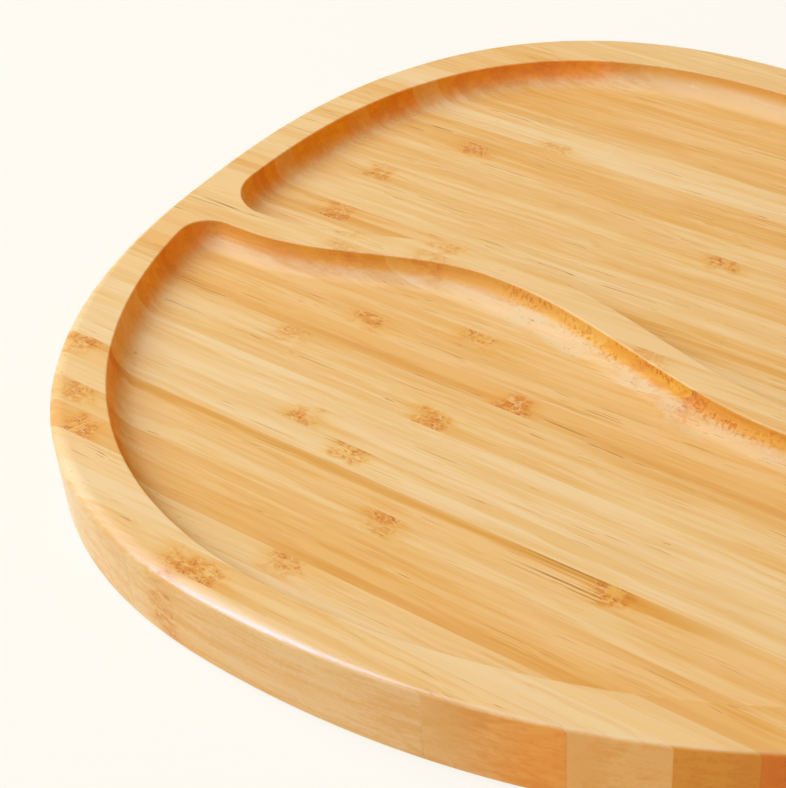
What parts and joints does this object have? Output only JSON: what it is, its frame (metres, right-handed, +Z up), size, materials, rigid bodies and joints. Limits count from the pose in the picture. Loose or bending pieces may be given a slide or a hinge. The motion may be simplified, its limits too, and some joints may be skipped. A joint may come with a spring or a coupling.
{
  "type": "divided bamboo tray",
  "caption": "Egg-shaped serving tray of glued upright bamboo strips, with two coved recesses either side of a wavy divider.",
  "frame": {"origin": "centre of the bounding box on the flat underside", "axes": "+Z up out of the recesses, +X along the bamboo strips towards the narrow end, +Y across the strips towards the recess beyond the divider"},
  "size_m": [0.2784, 0.245, 0.0204],
  "materials": {
    "bamboo_pale": "satin food-safe lacquer",
    "bamboo_honey": "satin food-safe lacquer",
    "bamboo_amber": "satin food-safe lacquer",
    "bamboo_deep": "satin food-safe lacquer"
  },
  "bodies": {
    "root": {"bamboo_strip_01": "bamboo_honey", "bamboo_strip_02": "bamboo_honey", "bamboo_strip_03": "bamboo_pale", "bamboo_strip_04": "bamboo_honey", "bamboo_strip_05": "bamboo_deep", "bamboo_strip_06": "bamboo_amber", "bamboo_strip_07": "bamboo_honey", "bamboo_strip_08": "bamboo_deep", "bamboo_strip_09": "bamboo_pale", "bamboo_strip_10": "bamboo_pale", "bamboo_strip_11": "bamboo_pale", "bamboo_strip_12": "bamboo_honey", "bamboo_strip_13": "bamboo_honey", "bamboo_strip_14": "bamboo_deep", "bamboo_strip_15": "bamboo_amber", "bamboo_strip_16": "bamboo_amber", "bamboo_strip_17": "bamboo_honey", "bamboo_strip_18": "bamboo_honey", "bamboo_strip_19": "bamboo_deep", "bamboo_strip_20": "bamboo_amber", "bamboo_strip_21": "bamboo_pale", "bamboo_strip_22": "bamboo_honey", "bamboo_strip_23": "bamboo_honey", "bamboo_strip_24": "bamboo_honey", "bamboo_strip_25": "bamboo_honey", "bamboo_strip_26": "bamboo_amber", "bamboo_strip_27": "bamboo_amber", "bamboo_strip_28": "bamboo_pale", "bamboo_strip_29": "bamboo_honey", "bamboo_strip_30": "bamboo_amber", "bamboo_strip_31": "bamboo_amber", "bamboo_strip_32": "bamboo_amber", "bamboo_strip_33": "bamboo_honey", "bamboo_strip_34": "bamboo_pale", "bamboo_strip_35": "bamboo_pale", "bamboo_strip_36": "bamboo_honey"}
  },
  "joints": []
}
